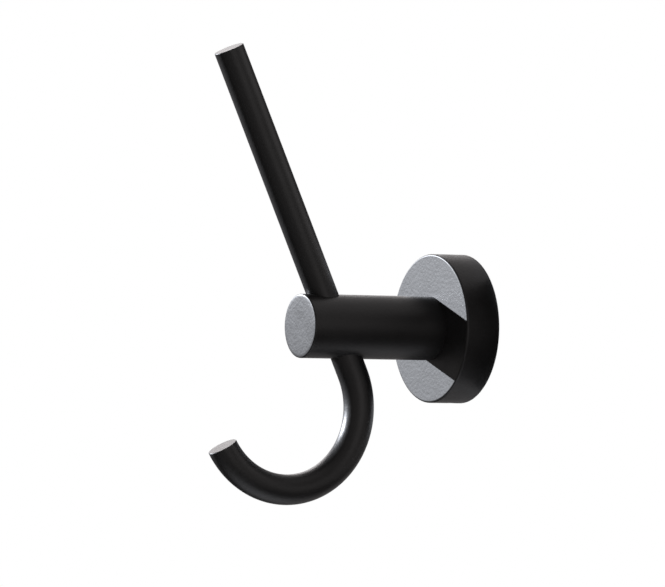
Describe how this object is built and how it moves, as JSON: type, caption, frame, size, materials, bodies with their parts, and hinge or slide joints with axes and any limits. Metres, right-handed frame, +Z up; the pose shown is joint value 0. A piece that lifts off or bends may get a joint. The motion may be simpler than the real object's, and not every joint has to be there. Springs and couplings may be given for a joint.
{
  "type": "double robe hook",
  "caption": "Matte black wall robe hook: a round rosette and post carry one leaning rod that is a straight peg above and a curved hook below.",
  "frame": {"origin": "centre of the rosette's back, on the wall and midway between the two wall-screw slots", "axes": "+Z up, +Y into the wall, so the hook reaches out along -Y; +X to the right as seen from the room"},
  "size_m": [0.049, 0.0943, 0.15],
  "materials": {
    "black_powder_coat": "matte",
    "zinc_plate": "satin",
    "black_oxide": "satin"
  },
  "bodies": {
    "root": {"rosette": "black_powder_coat", "post": "black_powder_coat", "hook_rod": "black_powder_coat", "wall_bracket": "zinc_plate", "post_screw": "zinc_plate", "grub_screw": "black_oxide"}
  },
  "joints": []
}
